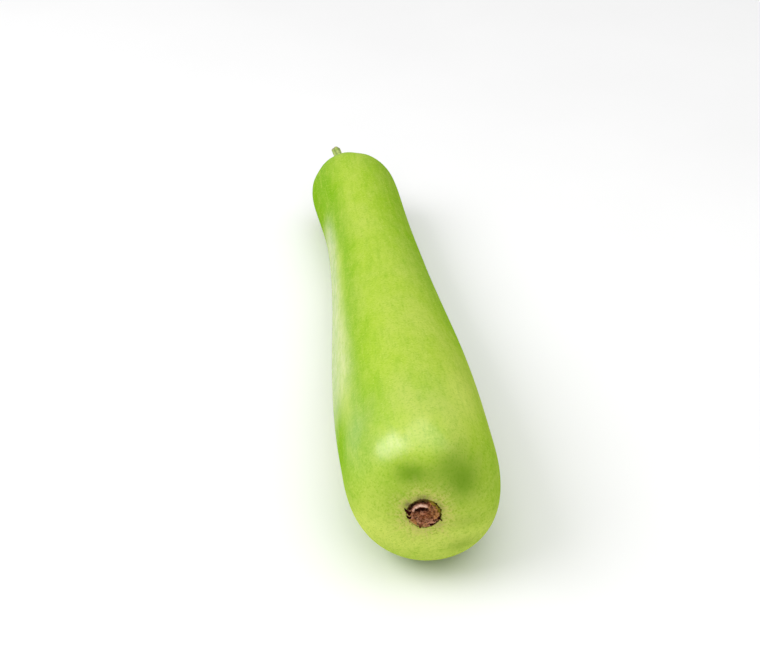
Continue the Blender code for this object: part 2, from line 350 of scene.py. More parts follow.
CREASE_ANGLES = np.radians((12, 80, 152, 224, 300))
CREASE_WIDTH = 0.20
CREASE_DEPTH = 0.14
CREASE_REACH = 0.036
CREASE_SINK = 0.55


def body_radius(t):
    """Belly radius, less a smooth taper to the neck, plus a bell-shaped swelling at the head."""
    slimming = (NECK_RADIUS - BELLY_RADIUS) * ease(t, TAPER_START, TAPER_END)
    return BELLY_RADIUS + slimming + (HEAD_RADIUS - NECK_RADIUS) * hump(t - HEAD_AT, HEAD_SPREAD)


def cap_rows(squareness, smallest, count):
    """Sizes and depths along a superellipse, whose two shares raised to the squareness add up to 1."""
    lowest = math.asin(smallest ** (squareness / 2.0))
    angle = np.linspace(lowest, math.pi / 2.0, count)
    return np.sin(angle) ** (2.0 / squareness), 1.0 - np.cos(angle) ** (2.0 / squareness)


def rows_of_fruit(blossom, body, stem):
    """Place along the fruit, and share of the full radius, of each row from the pocket to the stem's seat."""
    size, depth = cap_rows(BLOSSOM_SQUARENESS, (POCKET_RADIUS + POCKET_LIP) / BELLY_RADIUS, blossom)
    first = np.stack([BLOSSOM_CAP * depth, size], axis=1)
    middle = np.linspace(BLOSSOM_CAP, 1.0 - STEM_CAP, body + 2)[1:-1]
    size, depth = cap_rows(STEM_SQUARENESS, STEM_SEAT_RADIUS / HEAD_RADIUS, stem)
    last = np.stack([1.0 - STEM_CAP * depth, size], axis=1)[::-1]
    return np.concatenate([first, np.stack([middle, np.ones_like(middle)], axis=1), last])


def creases(angle):
    """1 in the bottom of each of the five folds that run to the stem, and 0 on the swellings between them."""
    return sum(hump(angle_between(angle, fold), CREASE_WIDTH) for fold in CREASE_ANGLES)


def hollows(t, angle):
    """How deep the two soft dents in the blossom end's shoulder are."""
    return sum(
        depth * hump(t - at, spread) * hump(angle_between(angle, toward), width)
        for at, toward, depth, spread, width in SHOULDER_HOLLOWS
    )


def skin_points(t, size, angle, inward=0.0):
    """Points of the skin. The radius at t is made oval at the belly, folded at the stem and dented at the
    shoulder, and inward is taken off it. The axis bows and sways sideways. The blossom end leans, and
    both ends dip round their middle."""
    radius = body_radius(t) * size
    radius = radius * (1.0 + OVAL * np.cos(2.0 * (angle - OVAL_ANGLE)) * hump(t - OVAL_AT, OVAL_REACH) * size)
    radius = radius * (1.0 - size * CREASE_DEPTH * creases(angle) * hump(1.0 - t, CREASE_REACH))
    radius = radius - size * (hollows(t, angle) + inward)
    end = 2.0 * t - 1.0
    to_scar = np.clip(1.0 - t / SCAR_OFFSET_REACH, 0.0, 1.0) ** 2
    x = SIDE_BOW * end**2 + SIDE_SWAY * end**3 + SCAR_OFFSET[0] * to_scar + radius * np.cos(angle)
    lean = BLOSSOM_LEAN * hump(t, BLOSSOM_LEAN_REACH) * radius * np.cos(angle) / BELLY_RADIUS
    y = (t - 0.5) * FRUIT_LENGTH - lean
    y = y + BLOSSOM_DIP * hump(radius, BLOSSOM_DIP_RADIUS) * (t < 0.5)
    y = y - STEM_DIP * (1.0 + CREASE_SINK * creases(angle)) * hump(radius, STEM_DIP_RADIUS) * (t > 0.5)
    return np.stack([x, y, SCAR_OFFSET[1] * to_scar + radius * np.sin(angle)], axis=-1)

# %% [markdown]
# ## The way it lies
# A gourd on a table rests on its belly and on its head, so it tips forward by a few degrees. The tip is
# found the way one would find it by hand: turn it until the lowest points of both halves are level. The
# place on the table is then read from the solid's own box.

# %% Lay it down
SOLID_ROWS = (15, 26, 13)
SOLID_SIDES = 60
REST_FLAT = 0.0006
REST_STEPS = 4

solid_rows = rows_of_fruit(*SOLID_ROWS)
solid_skin = skin_points(solid_rows[:, :1], solid_rows[:, 1:], around(SOLID_SIDES)[None, :])


def tipped(points, pitch):
    """Points turned about the X axis by pitch."""
    cos, sin = math.cos(pitch), math.sin(pitch)
    x, y, z = points[..., 0], points[..., 1], points[..., 2]
    return np.stack([x, y * cos - z * sin, y * sin + z * cos], axis=-1)


def resting_pitch(points):
    """Turns by the slope between the lowest points of the front half and of the back half, a few times."""
    pitch = 0.0
    for _ in range(REST_STEPS):
        y, z = tipped(points, pitch)[:, 1:].T
        front = np.where(y < 0.0, z, np.inf).argmin()
        back = np.where(y > 0.0, z, np.inf).argmin()
        pitch -= math.atan2(z[back] - z[front], y[back] - y[front])
    return pitch


pitch = resting_pitch(solid_skin.reshape(-1, 3))
lying = tipped(solid_skin.reshape(-1, 3), pitch)
middle = (lying.min(axis=0) + lying.max(axis=0)) / 2.0
on_table = np.array([*((gourd_low + gourd_high) / 2.0 - middle)[:2], -lying[:, 2].min() - REST_FLAT])


def lay_down(points):
    """A point of the level model, tipped and moved to its place on the table."""
    return tipped(points, pitch) + on_table


print("tipped by", round(math.degrees(pitch), 2), "degrees, moved by", (1000 * on_table).round(2), "mm")

# %% [markdown]
# ## Finish of the skin
# A young bottle gourd is light yellow-green with a thin waxy bloom. Seen close it is never one colour:
# cloudy patches, fine streaks that run lengthwise, a haze of pale flecks and a few dark specks. It turns
# yellower and paler towards the blossom end, partly in its own colour and partly as painted light, and
# brown where the flower's pocket has dried. Light and shade are painted in as well: a paler crown, darker
# flanks, dents and folds, a whitish painted sheen along the left side and a painted highlight on the
# shoulder. All of that is mixed from noise at several scales, from a hand's width down to half a
# millimetre. A clear coat lies over the polished places and gives the shoulder its highlight.

# %% Skin colours, as linear red, green and blue
LEAF_GREEN = (0.160, 0.390, 0.003)
FRESH_GREEN = (0.330, 0.540, 0.012)
PALE_GREEN = (0.475, 0.600, 0.084)
BLOSSOM_YELLOW = (0.620, 0.720, 0.130)
# The whitish colour of the painted sheen and the painted highlight.
PAINTED_SHEEN_WHITE = (0.840, 0.780, 0.380)
FACE_SHADE_GREEN = (0.100, 0.240, 0.002)
FOLD_SHADE_GREEN = (0.045, 0.130, 0.004)
HALO_YELLOW = (0.600, 0.560, 0.150)
HALO_OLIVE = (0.200, 0.240, 0.025)
DRY_TAN = (0.460, 0.400, 0.120)
DRY_GREY = (0.200, 0.180, 0.060)
POCKET_BROWN = (0.045, 0.014, 0.004)
POCKET_OLIVE = (0.230, 0.180, 0.008)
SPECK_GREEN = (0.110, 0.190, 0.010)


def skin_colour(tree, place, streaks, grain):
    """Clouds of three greens, a painted highlight on the crown and painted shade on the flanks, yellower and
    paler to the blossom end (partly painted light), then streaks, flecks, specks, a whitish painted sheen,
    painted shade in the dents and folds, and dry skin.
    """
    clouds = noise(tree, object_place(tree, (1.0, 0.35, 1.0)), 42.0, detail=4.0)
    mottle = noise(tree, object_place(tree, (1.0, 0.60, 1.0)), 190.0, detail=4.0, roughness=0.6)
    sheen_breakup = noise(tree, object_place(tree, (1.0, 0.20, 1.0)), 300.0, detail=6.0, roughness=0.75)
    crazed = noise(tree, place, 760.0, detail=4.0, roughness=0.75)
    along = stored(tree, "along")
    halo = stored(tree, "halo")

    colour = paint(tree, window(tree, clouds, 0.34, 0.66), FRESH_GREEN, PALE_GREEN)
    # Painted light and shade: the crown is painted paler as a highlight, and the flanks darker green as
    # shade.
    colour = paint_marks(tree, colour, (("lit_crown", PALE_GREEN), ("flank", LEAF_GREEN)))
    colour = paint_patterns(tree, colour, ((along, 0.14, 0.0, 0.35, BLOSSOM_YELLOW),))
    # The pale mark is partly the paler skin of the blossom end and partly painted light: floor light under
    # the flower, a painted light streak on the belly and a painted reflection beside the left band.
    colour = paint_marks(tree, colour, (("pale_and_painted_light", BLOSSOM_YELLOW),))
    layers = (
        (along, 0.80, 1.0, 0.30, LEAF_GREEN),
        (mottle, 0.52, 0.36, 0.15, LEAF_GREEN),
        (mottle, 0.52, 0.66, 0.22, PALE_GREEN),
        (streaks, 0.50, 0.34, 0.18, LEAF_GREEN),
        (streaks, 0.52, 0.70, 0.30, PALE_GREEN),
        (grain, 0.50, 0.34, 0.42, LEAF_GREEN),
        (grain, 0.52, 0.66, 0.44, PALE_GREEN),
    )
    colour = paint_patterns(tree, colour, layers)
    colour = paint(tree, times(tree, specks(tree, place, 520.0, 0.34, 0.30), 0.30), colour, BLOSSOM_YELLOW)
    colour = paint(tree, times(tree, specks(tree, place, 95.0, 0.07, 0.14), 0.55), colour, SPECK_GREEN)
    # Painted reflection: a whitish sheen along the left side, broken up by noise, and a painted highlight on
    # the shoulder.
    painted_sheen = times(tree, stored(tree, "painted_sheen_band"), window(tree, sheen_breakup, 0.28, 0.68))
    colour = paint(tree, painted_sheen, colour, PAINTED_SHEEN_WHITE)
    # Painted shade in the dents of the blossom face and in the folds at the stem.
    colour = paint_marks(tree, colour, (("face_shade", FACE_SHADE_GREEN), ("fold_shade", FOLD_SHADE_GREEN)))
    colour = paint(tree, times(tree, halo, window(tree, crazed, 0.44, 0.56)), colour, HALO_YELLOW)
    colour = paint(tree, times(tree, halo, window(tree, crazed, 0.47, 0.37)), colour, HALO_OLIVE)
    speckled = window(tree, crazed, 0.40, 0.60, 0.35, 1.0)
    for label, laid in (("dried", DRY_TAN), ("withered", DRY_GREY)):
        colour = paint(tree, times(tree, stored(tree, label), speckled), colour, laid)
    wall = paint(tree, stored(tree, "olive"), POCKET_BROWN, POCKET_OLIVE)
    return paint_marks(tree, colour, (("browned", wall),))


def skin_finish():
    """The mixed greens under a soft bloom, with a clear waxy coat only where the skin is polished."""
    finish, tree, shader = new_finish("gourd_skin", roughness=0.45, specular=0.0)
    place = object_place(tree)
    lengthwise = object_place(tree, (1.0, 0.07, 1.0))
    streaks = noise(tree, lengthwise, 420.0, detail=4.0, roughness=0.6)
    grain = noise(tree, place, 900.0, detail=3.0, roughness=0.7)
    bloom = window(tree, noise(tree, lengthwise, 160.0, detail=5.0), 0.30, 0.70, 0.32, 0.46)
    sockets = {
        "Base Color": skin_colour(tree, place, streaks, grain),
        "Roughness": plus(tree, bloom, times(tree, stored(tree, "dried"), 0.3)),
        "Normal": bump(tree, grain, 0.00007, bump(tree, streaks, 0.00004)),
        "Coat Weight": stored(tree, "polish"),
    }
    feed(tree, shader, sockets)
    shader.inputs["Coat Roughness"].default_value = 0.24
    shader.inputs["Coat IOR"].default_value = 1.75
    shader.inputs["Subsurface Weight"].default_value = 0.10
    shader.inputs["Subsurface Radius"].default_value = (0.9, 1.0, 0.25)
    shader.inputs["Subsurface Scale"].default_value = 0.004
    return finish


gourd_skin = skin_finish()

# %% [markdown]
# ## Rows where the detail is
# The blossom end and the stem end need rings less than half a millimetre apart for their wrinkles, while
# the smooth body is well served by rings two and a half millimetres apart. The rows are therefore laid
# out by arc length: the number of rows per millimetre is summed along the profile, and a row is set
# wherever that sum passes a whole number.

# %% Lay out the rows
FINE_SPACING = 0.00036
WIDE_SPACING = 0.0026
FINE_REACH = 0.020
PROFILE_SAMPLES = 3000


def spaced_rows():
    """Rows of the fruit whose spacing grows from fine at both ends to wide along the body."""
    dense = rows_of_fruit(PROFILE_SAMPLES, PROFILE_SAMPLES, PROFILE_SAMPLES)
    profile = np.stack([dense[:, 0] * FRUIT_LENGTH, body_radius(dense[:, 0]) * dense[:, 1]], axis=1)
    steps = np.hypot(*np.diff(profile, axis=0).T)
    length = np.concatenate([[0.0], np.cumsum(steps)])
    near_end = hump(length, FINE_REACH) + hump(length[-1] - length, FINE_REACH)
    spacing = WIDE_SPACING + (FINE_SPACING - WIDE_SPACING) * near_end
    passed = np.concatenate([[0.0], np.cumsum(steps / spacing[1:])])
    wanted = np.linspace(0.0, passed[-1], int(round(passed[-1])) + 1)
    return np.stack([np.interp(wanted, passed, dense[:, k]) for k in (0, 1)], axis=1)


fruit_rows = spaced_rows()
print("rows on the skin:", len(fruit_rows))

# %% [markdown]
# ## The skin, its pocket and its folds
# A real fruit is never a perfect lathe shape, so slow waves press its side in by a fraction of a
# millimetre. Fine wrinkles gather round the dried flower and round the stem. The pocket's edge is ragged,
# its wall is slightly undercut and its floor is level. Everything is taken inward from the solid and
# nothing stands out of it, so the dressed fruit is never bigger than the solid.

# %% Build the fruit
FRUIT_SIDES = 288
SKIN_INSET = 0.00012
UNEVEN_DEPTH = 0.00035
UNEVEN_SETS_IN = (0.0, 0.08)
# Turns round the fruit and half turns along it, for each wave.
UNEVEN_WAVES = ((1, 2.3), (2, 1.4), (2, 3.7), (3, 2.9), (3, 5.1), (4, 4.3), (5, 6.7))
# Across, up, half width, half height and depth in metres, and the share of painted shade.
FACE_HOLLOWS = (
    (-0.0068, 0.0219, 0.0084, 0.0059, 0.0005, 0.62),
    (0.0196, 0.0172, 0.0096, 0.0100, 0.0009, 0.66),
    (0.0065, 0.0220, 0.0100, 0.0070, 0.0003, 0.26),
    (0.0125, 0.0270, 0.0080, 0.0050, 0.0000, 0.30),
    (0.0030, 0.0110, 0.0260, 0.0130, 0.0000, 0.22),
    (0.0190, -0.0215, 0.0085, 0.0050, 0.0000, 0.42),
    (0.0198, -0.0056, 0.0100, 0.0035, 0.0000, 0.24),
)
FACE_HOLLOWS_REACH = 0.12
SCAR_WRINKLE = 0.00008
SCAR_WRINKLE_REACH = 0.0036
SCAR_SWIRL = 20.0
STEM_WRINKLE = 0.00030
STEM_WRINKLE_REACH = 0.012
STEM_SWIRL = -15.0
POCKET_RAGGED = 0.00045
POCKET_ROWS = 26
OVERLAP = 0.0010
OVERLAP_SIDE = (110, 62, 26)

fruit_angle = around(FRUIT_SIDES)[None, :]
lip_radius = POCKET_RADIUS + POCKET_LIP
SCAR_PLACE = solid_skin[0].mean(axis=0)[[0, 2]]


def unevenness(t, angle):
    """Slow waves between 0 and 1: products of a cosine round the fruit and a cosine along it."""
    draw = np.random.default_rng(11)
    total = 0.0
    for turns, beats in UNEVEN_WAVES:
        phase, start = draw.uniform(0.0, 2.0 * math.pi, 2)
        total = total + np.cos(turns * angle + phase) * np.cos(beats * math.pi * t + start)
    return 0.5 + 0.5 * np.tanh(0.7 * total)


def face_hollows(across, up, column):
    """Bell-shaped dents of the blossom face, weighed by their depths (column 4) or by their painted shade
    (column 5).
    """
    return sum(
        hollow[column] * hump(across - hollow[0], hollow[2]) * hump(up - hollow[1], hollow[3])
        for hollow in FACE_HOLLOWS
    )


def wrinkles(angle, seed):
    """Uneven radial wrinkles between about -1 and 1."""
    return ripple(angle, (13, 21, 34, 47, 61), seed)


def make_skin_rings():
    """The skin's rings with unevenness, and with wrinkles that fade away from the pocket and the stem."""
    t, size = fruit_rows[:, :1], fruit_rows[:, 1:]
    inward = SKIN_INSET + UNEVEN_DEPTH * unevenness(t, fruit_angle) * ease(t, *UNEVEN_SETS_IN)
    rings = skin_points(t, size, fruit_angle, inward)
    radius = body_radius(t) * size
    at_scar = hump(np.maximum(radius - lip_radius, 0.0), SCAR_WRINKLE_REACH) * (t < 0.5)
    at_stem = hump(radius - STEM_SEAT_RADIUS, STEM_WRINKLE_REACH) * (t > 0.5)
    rings[..., 1] += SKIN_INSET * (t < 0.5) - SKIN_INSET * (t > 0.5)
    rings[..., 1] += SCAR_WRINKLE * at_scar * (1.0 + wrinkles(fruit_angle + SCAR_SWIRL * radius, 3))
    rings[..., 1] -= STEM_WRINKLE * at_stem * (1.0 + wrinkles(fruit_angle + STEM_SWIRL * radius, 5))
    across, up = rings[..., 0] - SCAR_PLACE[0], rings[..., 2] - SCAR_PLACE[1]
    rings[..., 1] += face_hollows(across, up, 4) * hump(t, FACE_HOLLOWS_REACH)
    return rings


skin_rings = make_skin_rings()
scar_centre = skin_rings[0].mean(axis=0)


def on_face(across, up, out):
    """A point of the leaning blossom end: the further across, the further forward."""
    return scar_centre + np.stack([across, -out - across * BLOSSOM_LEAN / BELLY_RADIUS, up], axis=-1)


def make_pocket_rings():
    """Rings from the pocket's floor up its undercut wall and over its ragged, rounded edge to the skin."""
    angle = fruit_angle[0]
    ragged = POCKET_RAGGED * ripple(angle, (3, 5, 9, 14, 23, 37), 17)
    ragged = ragged - OVERLAP * near_side(angle, *OVERLAP_SIDE)
    edge = skin_rings[0] - scar_centre
    edge_out = -edge[:, 1] - edge[:, 0] * BLOSSOM_LEAN / BELLY_RADIUS
    # Radius and height out of the face in metres, and share of the raggedness.
    shape = (
        (0.0020, -POCKET_DEPTH, 0.0),
        (0.0070, -POCKET_DEPTH, 0.0),
        (POCKET_RADIUS - 0.0006, -POCKET_DEPTH + 0.0001, 0.4),
        (POCKET_RADIUS + 0.0001, -POCKET_DEPTH + 0.0009, 0.8),
        (POCKET_RADIUS, -0.0014, 1.0),
        (POCKET_RADIUS - 0.0001, -0.0005, 1.0),
        (POCKET_RADIUS + 0.0002, -0.0001, 0.7),
    )
    knots = [np.stack([radius + share * ragged, np.full_like(angle, out)]) for radius, out, share in shape]
    knots.append(np.stack([np.hypot(edge[:, 0], edge[:, 2]), edge_out]))
    radius, out = np.moveaxis(smooth_through(knots, POCKET_ROWS), 1, 0)
    return on_face(radius * np.cos(angle), radius * np.sin(angle), out)[:-1]


pocket_rings = make_pocket_rings()

# %% [markdown]
# The skin runs on a little way up the foot of the stem, as it does where a stem grows out of a fruit.

# %% The collar where the skin meets the stem
COLLAR_RADIUS = 0.0051
COLLAR_HEIGHT = 0.0012
COLLAR_TORN = 0.00018
COLLAR_ROWS = 9
SEAT_ROWS = 3

seat_y = solid_skin[-1][:, 1].min()
stem_foot = solid_skin[-1].mean(axis=0)
stem_foot[1] = seat_y


def make_collar_rings():
    """Rings from the last row of skin down to the seat, up against the stem, and back in underneath it."""
    angle = fruit_angle[0]
    ring = np.stack([np.cos(angle), np.zeros_like(angle), np.sin(angle)], axis=-1)
    torn = COLLAR_TORN * ripple(angle, (5, 8, 13, 21), 23)[:, None]
    up = np.array([0.0, 1.0, 0.0])
    knots = [
        skin_rings[-1],
        stem_foot + ring * (STEM_SEAT_RADIUS - 0.0006) + up * 0.0004,
        stem_foot + ring * (COLLAR_RADIUS + 0.0004 + torn) + up * COLLAR_HEIGHT,
        stem_foot + ring * (COLLAR_RADIUS - 0.0004) + up * (COLLAR_HEIGHT - 0.0004),
        stem_foot + ring * (COLLAR_RADIUS - 0.0012),
        stem_foot + ring * 0.002,
    ]
    return smooth_through(knots, COLLAR_ROWS + SEAT_ROWS)[1:]


collar_rings = make_collar_rings()

# %% [markdown]
# ## Marks on the skin
# Each point also stores how green, pale, lit, shaded or dried the skin is there, as a number from 0 to 1.
# The finish reads these numbers. Bands run along the fruit: each keeps to one side, and its middle and
# width change from belly to neck. The crown band is a painted highlight along the lit top, and the side
# and under bands are painted shade. Along the left side a clear coat lies thicker under a whitish painted
# sheen, and the shoulder above the flower is polished and carries a painted highlight. The pale mark is
# partly paler skin and partly painted light, and the dents of the blossom face and the folds at the stem
# are painted darker as shade. Places along the fruit count from 0 at the flower to 1 at the stem.

# %% Bands and spots along the fruit
FACE_END = 0.1
NECK_SETS_IN = (0.24, 0.60)
LIT_CROWN_SETS_IN = (0.05, 0.25)
SHEEN_BAND_SETS_IN = (0.14, 0.28)
SHEEN_BAND_GONE = (0.82, 0.70)
POLISH_SETS_IN = (0.014, 0.036)
POLISH_GONE = (0.08, 0.22)
FACE_SHADE_GONE = (0.12, 0.04)
# Middle and half width at the belly, the same at the neck, and the fall, all in degrees.
# The crown band paints a highlight along the lit top; the left, right and under bands paint shade down the
# sides; the band on the left paints a whitish sheen and thickens the coat; polish is the coat on the
# shoulder.
BANDS = {
    "lit_crown": ((82, 66), (100, 52), 46),
    "left": ((168, 58), (168, 58), 32),
    "right": ((14, 58), (14, 80), 50),
    "under": ((-84, 66), (-84, 66), 44),
    "painted_sheen_band": ((180, 53), (180, 40), 22),
    "polish": ((108, 58), (108, 58), 40),
}
# Direction and width in degrees, place and reach along the fruit, and strength.
# A painted light streak on the right of the belly.
PAINTED_LIGHT_STREAK = (57, 14.9, 0.14, 0.07, 0.90)
# A painted highlight on the shoulder, under the coat's own highlight.
SHOULDER_PAINTED_HIGHLIGHT = (112, 17.2, 0.035, 0.025, 0.22)


def spot(angle, distance, row):
    """A bell-shaped spot: direction and width in degrees, middle and reach of a distance, and strength."""
    toward, width, at, reach, strength = row
    return strength * hump(degrees_off(angle, toward), width) * hump(distance - at, reach)


def body_marks(t, angle, across, up):
    """The bands that run along the fruit: a painted highlight on the crown, painted shade on the sides, and
    a painted sheen with a thicker coat on the left; the paler places of the blossom end, partly painted
    light; and painted shade in the dents and folds.
    """
    at_neck = ease(t, *NECK_SETS_IN)

    def band(name):
        """How near a point is to a band whose middle and width change from belly to neck."""
        at_belly, at_head, fall = BANDS[name]
        middle, half_width = (low + (high - low) * at_neck for low, high in zip(at_belly, at_head))
        return near_side(angle, middle, half_width, fall)

    # Painted highlight: the crown is painted paler along the lit top.
    lit_crown = band("lit_crown") * ease(t, *LIT_CROWN_SETS_IN) * (1.0 - 0.45 * hump(t - 0.82, 0.10))
    painted_sheen_band = band("painted_sheen_band") * ease(t, *SHEEN_BAND_SETS_IN) * ease(t, *SHEEN_BAND_GONE)
    polish = band("polish") * ease(t, *POLISH_SETS_IN) * (1.0 - 0.85 * ease(t, *POLISH_GONE))
    # Painted shade: the sides and the underside are painted darker green, most on the right of the neck, and
    # the edges of the blossom face darker still.
    right = (0.10 + 0.42 * at_neck + 0.16 * hump(t - 0.40, 0.12)) * band("right")
    flank = (0.72 * band("left") + right + 0.40 * band("under")) * (1.0 - 0.35 * hump(t, 0.03))
    flank = flank + 0.30 * ease(np.abs(across), 0.026, 0.038) * ease(t, 0.14, 0.04)
    # Paler below the flower and low on the left, partly the skin's own colour and partly painted light from
    # the floor.
    pale_and_painted_light = ease(up, 0.002, -0.020) * (1.0 - 0.6 * ease(up, -0.019, -0.029)) * hump(t, 0.075)
    pale_and_painted_light = pale_and_painted_light + 0.6 * hump(across + 0.024, 0.010) * hump(up + 0.004, 0.016) * (t < FACE_END)
    # A pale painted reflection beside the left sheen band, and the painted light streak on the belly.
    painted_reflection_beside_band = hump(degrees_off(angle, 148), 9.7) * ease(t, 0.08, 0.18) * ease(t, 0.74, 0.60)
    pale_and_painted_light = pale_and_painted_light + spot(angle, t, PAINTED_LIGHT_STREAK) + 0.50 * painted_reflection_beside_band
    # Painted shade in the five folds at the stem.
    fold_shade = ease(creases(angle), 0.35, 1.0) * hump(1.0 - t, 0.020) * (t > 0.5)
    return {
        "along": t + 0.0 * angle,
        "lit_crown": 0.45 * lit_crown,
        "flank": flank,
        # The painted sheen along the left and the painted highlight on the shoulder.
        "painted_sheen_band": (0.36 + 0.10 * at_neck) * painted_sheen_band + spot(angle, t, SHOULDER_PAINTED_HIGHLIGHT),
        "polish": 0.02 + 0.77 * polish + 0.75 * painted_sheen_band * (1.0 - 0.95 * polish),
        "pale_and_painted_light": np.clip(0.90 * pale_and_painted_light, 0.0, 0.9),
        # Painted shade in the dents, above the flower and towards the right edge of the blossom face.
        "face_shade": np.clip(face_hollows(across, up, 5), 0.0, 0.9) * ease(t, *FACE_SHADE_GONE),
        "fold_shade": 0.55 * fold_shade,
    }

# %% [markdown]
# Round the flower the skin has dried: it is yellow and crazed in a wide halo, tan close to the pocket, and
# brown on the pocket's ragged edge and wall. These marks follow the distance from the pocket's edge.

# %% Dry skin round the pocket
# Direction and width in degrees, distance from the edge and reach in metres, and strength.
DRY_PATCHES = (
    (96, 20.6, 0.0006, 0.0018, 1.50),
    (146, 14.9, 0.0012, 0.0018, 1.05),
    (322, 14.9, 0.0018, 0.0018, 0.30),
    (30, 22.9, 0.0008, 0.0012, 0.60),
)
POCKET_SHRUNK_SIDE = (118, 72, 22)
POCKET_OLIVE_SIDE = (26, 54, 20)


def pocket_marks(front, angle, from_edge, out):
    """Dry and browned skin by the distance from the pocket's edge. front is 1 at the blossom end only."""
    outside = np.maximum(from_edge, 0.0)
    rough = ripple(angle, (7, 11, 19, 31), 29)
    shrunk = near_side(angle, *POCKET_SHRUNK_SIDE)
    edge_width = (0.00034 + 0.00030 * rough) * (0.30 + 0.45 * shrunk)
    brown_edge = hump(outside, np.maximum(edge_width, 0.0001)) * (0.5 + 0.5 * shrunk)
    brown_wall = ease(-out, 0.0002, 0.0008) * (from_edge < 0.0006)
    withered = sum(spot(angle, from_edge, patch) for patch in DRY_PATCHES)
    return {
        "halo": 0.85 * hump(outside, 0.0070 + 0.0012 * rough) * front,
        "olive": near_side(angle, *POCKET_OLIVE_SIDE) * front,
        "dried": 0.60 * hump(outside, 0.0032 + 0.0008 * rough) * front,
        "withered": np.clip(withered, 0.0, 1.0) * front,
        "browned": 0.92 * np.maximum(brown_edge, brown_wall) * front,
    }

# %% [markdown]
# The rings of the pocket, the skin and the collar are stacked into one closed body, and every point of
# every ring gets its marks.

# %% Put the fruit together
fruit_rings = np.concatenate([pocket_rings, skin_rings, collar_rings])


def skin_marks():
    """A number per ring point for each mark on the skin."""
    t = np.concatenate([np.zeros(len(pocket_rings)), fruit_rows[:, 0], np.ones(len(collar_rings))])[:, None]
    angle = fruit_angle + 0.0 * t
    across, back, up = np.moveaxis(fruit_rings - scar_centre, -1, 0)
    from_edge = np.hypot(across, up) - POCKET_RADIUS
    out = -back - across * BLOSSOM_LEAN / BELLY_RADIUS
    return {**body_marks(t, angle, across, up), **pocket_marks(t < FACE_END, angle, from_edge, out)}


marks = {label: with_poles(values) for label, values in skin_marks().items()}
fruit_rings = lay_down(fruit_rings)
fruit_rings[..., 2] = np.maximum(fruit_rings[..., 2], 0.0)
fruit_skin = put_bodies("fruit_skin", [sleeve(fruit_rings)], gourd_skin, marks)
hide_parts("gourd")
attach(fruit_skin, "root")

# %% [markdown]
# ## The cut stem
# The stem that held the fruit is a tough five-sided stalk. It flares where it joins the fruit, bends
# gently, and ends in the cut. A section with five rounded ridges and fine grooves is carried along a
# curved path, square to the path at every point.

# %% Finish of the stem
STALK_GREEN = (0.300, 0.430, 0.070)
STALK_LIGHT = (0.480, 0.575, 0.170)
STALK_DARK = (0.150, 0.210, 0.040)
STALK_BROWN = (0.260, 0.200, 0.090)


def stem_finish():
    """Green with lighter ridges, darker grooves, lengthwise fibres, and browner at both ends."""
    finish, tree, shader = new_finish("stem_green", roughness=0.55)
    lengthwise = object_place(tree, (1.0, 0.10, 1.0))
    fibres = noise(tree, lengthwise, 2200.0, detail=4.0, roughness=0.65)
    blotches = noise(tree, object_place(tree), 260.0, detail=3.0)
    ridge = stored(tree, "ridge")
    browner = times(tree, stored(tree, "ends"), window(tree, blotches, 0.3, 0.6, 0.5, 1.0))
    layers = (
        (ridge, 0.45, 0.0, 0.60, STALK_DARK),
        (fibres, 0.52, 0.30, 0.45, STALK_DARK),
        (fibres, 0.55, 0.75, 0.50, STALK_LIGHT),
    )
    colour = paint(tree, window(tree, blotches, 0.35, 0.65), STALK_GREEN, STALK_LIGHT)
    sockets = {
        "Base Color": paint(tree, browner, paint_patterns(tree, colour, layers), STALK_BROWN),
        "Roughness": window(tree, blotches, 0.3, 0.7, 0.48, 0.66),
        "Normal": bump(tree, blotches, 0.00015, bump(tree, fibres, 0.00012)),
    }
    feed(tree, shader, sockets)
    return finish


stem_green = stem_finish()

# %% Build the stem
GAP = 0.0003
STEM_RUN = 0.0415
STEM_SIDE = -0.0050
STEM_RISE = 0.0045
STEM_RADIUS = 0.0027
STEM_BASE_RADIUS = 0.0049
STEM_FLARE = 0.0160
STEM_TIP_SWELL = 0.12
STEM_RIDGES = 5
STEM_RIDGE_HEIGHT = 0.08
STEM_GROOVE_DEPTH = 0.010
STEM_KNOB_HEIGHT = 0.018
STEM_TWIST = 0.35
STEM_SIDES = 150
STEM_ROWS = 150
STEM_END_INSET = 0.0005
STEM_STEP = 1e-4


def stem_axis(share):
    """The path from the seat: it runs on evenly, and eases sideways and up."""
    bend = 2.0 * smooth_step(share / 2.0)
    offset = np.stack([STEM_SIDE * bend, GAP + STEM_RUN * share, STEM_RISE * bend], axis=-1)
    return stem_foot + offset


def stem_radius(run):
    """Shank radius, plus a bell-shaped flare at the foot and a slight swelling at the cut."""
    flare = (STEM_BASE_RADIUS - STEM_RADIUS) * hump(run, STEM_FLARE)
    return STEM_RADIUS + flare + STEM_TIP_SWELL * STEM_RADIUS * ease(run / STEM_RUN, 0.75, 1.0)


def stem_ridge(angle, share):
    """1 on a ridge and 0 in a groove. The ridges turn slightly round the stem as they run along it."""
    return 0.5 + 0.5 * np.cos(STEM_RIDGES * (angle - STEM_TWIST * share))


